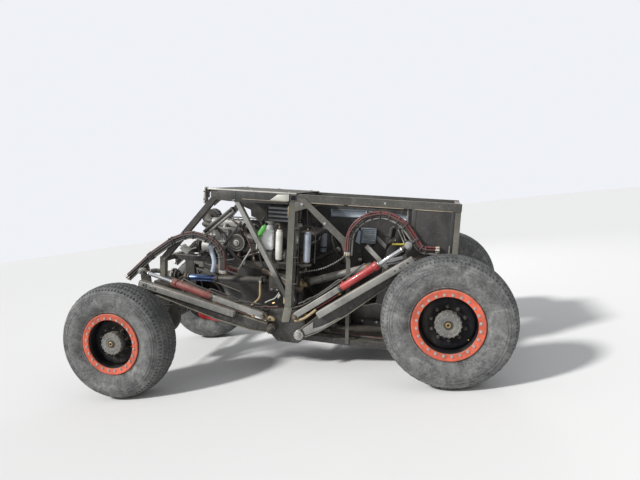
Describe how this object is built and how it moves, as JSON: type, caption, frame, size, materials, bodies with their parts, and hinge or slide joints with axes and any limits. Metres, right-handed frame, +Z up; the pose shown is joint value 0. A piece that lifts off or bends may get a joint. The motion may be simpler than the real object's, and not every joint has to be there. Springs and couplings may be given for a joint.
{
  "type": "open crawler buggy",
  "caption": "Open tube-frame dune buggy with big balloon tyres on long swing arms, red hydraulic rams, front engine under a flat hood and steered front wheels.",
  "frame": {"origin": "centre of the bounding box's base, on the ground at mid wheelbase", "axes": "+X towards the tail, the front faces -X; +Y towards the vehicle's right side; +Z up"},
  "size_m": [4.1298, 2.34, 1.8947],
  "materials": {
    "frame_paint": "worn dusty satin",
    "panel_paint": "dusty satin",
    "light_steel": "dull bare steel",
    "dark_steel": "worn black paint",
    "axle_paint": "dusty cast",
    "engine_metal": "cast",
    "ram_paint": "gloss red",
    "tyre_rubber": "dusty",
    "rim_paint": "satin black with an orange ring",
    "hose_rubber": "satin",
    "seat_cover": "woven",
    "wheel_grip": "satin",
    "white_paint": "gloss",
    "tank_plastic": "satin",
    "cooler_metal": "finned"
  },
  "bodies": {
    "chassis": {"top_rails": "frame_paint", "posts": "frame_paint", "low_rails": "frame_paint", "tail_rails": "frame_paint", "rear_kicks": "frame_paint", "front_legs": "frame_paint", "front_braces": "frame_paint", "belly_gussets": "frame_paint", "cross_tubes": "frame_paint", "engine_rails": "frame_paint", "shelves": "frame_paint", "tow_eyes": "frame_paint", "cab_braces": "frame_paint", "accumulators": "white_paint", "front_arms": "light_steel", "front_rams": "ram_paint", "front_hoses": "hose_rubber", "rear_arms": "light_steel", "rear_rams": "ram_paint", "rear_hoses": "hose_rubber", "hood_panel": "panel_paint", "cab_tub": "panel_paint", "rear_box": "panel_paint", "engine": "engine_metal", "gearbox": "engine_metal", "oil_cooler": "cooler_metal", "fluid_tank": "tank_plastic", "seat": "seat_cover", "steering_column": "dark_steel", "front_axle": "axle_paint", "rear_axle": "axle_paint", "front_shaft": "dark_steel", "rear_shaft": "dark_steel"},
    "front_left_roller": {"front_left_tyre": "tyre_rubber", "front_left_wheel": "rim_paint"},
    "rear_left_roller": {"rear_left_tyre": "tyre_rubber", "rear_left_wheel": "rim_paint"},
    "front_right_roller": {"front_right_tyre": "tyre_rubber", "front_right_wheel": "rim_paint"},
    "rear_right_roller": {"rear_right_tyre": "tyre_rubber", "rear_right_wheel": "rim_paint"},
    "left_steer": {"left_knuckle": "axle_paint"},
    "right_steer": {"right_knuckle": "axle_paint"},
    "steering_link": {"tie_rod": "dark_steel"},
    "hand_wheel": {"steering_wheel": "wheel_grip"}
  },
  "joints": [
    {"name": "left_steering", "type": "hinge", "parent": "chassis", "child": "left_steer", "pos_m": [-1.52, -0.735, 0.545], "axis": [0, 0, 1], "range_deg": [-25, 25]},
    {"name": "right_steering", "type": "hinge", "parent": "chassis", "child": "right_steer", "pos_m": [-1.52, 0.735, 0.545], "axis": [0, 0, 1], "range_deg": [-25, 25]},
    {"name": "link_swing", "type": "hinge", "parent": "left_steer", "child": "steering_link", "pos_m": [-1.77, -0.735, 0.545], "axis": [0, 0, 1], "range_deg": [-25, 25]},
    {"name": "front_left_roll", "type": "hinge", "parent": "left_steer", "child": "front_left_roller", "pos_m": [-1.52, -0.985, 0.545], "axis": [0, 1, 0], "continuous": true},
    {"name": "front_right_roll", "type": "hinge", "parent": "right_steer", "child": "front_right_roller", "pos_m": [-1.52, 0.985, 0.545], "axis": [0, 1, 0], "continuous": true},
    {"name": "rear_left_roll", "type": "hinge", "parent": "chassis", "child": "rear_left_roller", "pos_m": [1.52, -0.985, 0.545], "axis": [0, 1, 0], "continuous": true},
    {"name": "rear_right_roll", "type": "hinge", "parent": "chassis", "child": "rear_right_roller", "pos_m": [1.52, 0.985, 0.545], "axis": [0, 1, 0], "continuous": true},
    {"name": "hand_wheel_turn", "type": "hinge", "parent": "chassis", "child": "hand_wheel", "pos_m": [0.43989, 0.19, 1.07585], "axis": [0.9564, 0, 0.292], "range_deg": [-540, 540]}
  ],
  "couplings": [
    {"joint": "right_steering", "follows": "left_steering", "ratio": 1},
    {"joint": "link_swing", "follows": "left_steering", "ratio": -1}
  ]
}
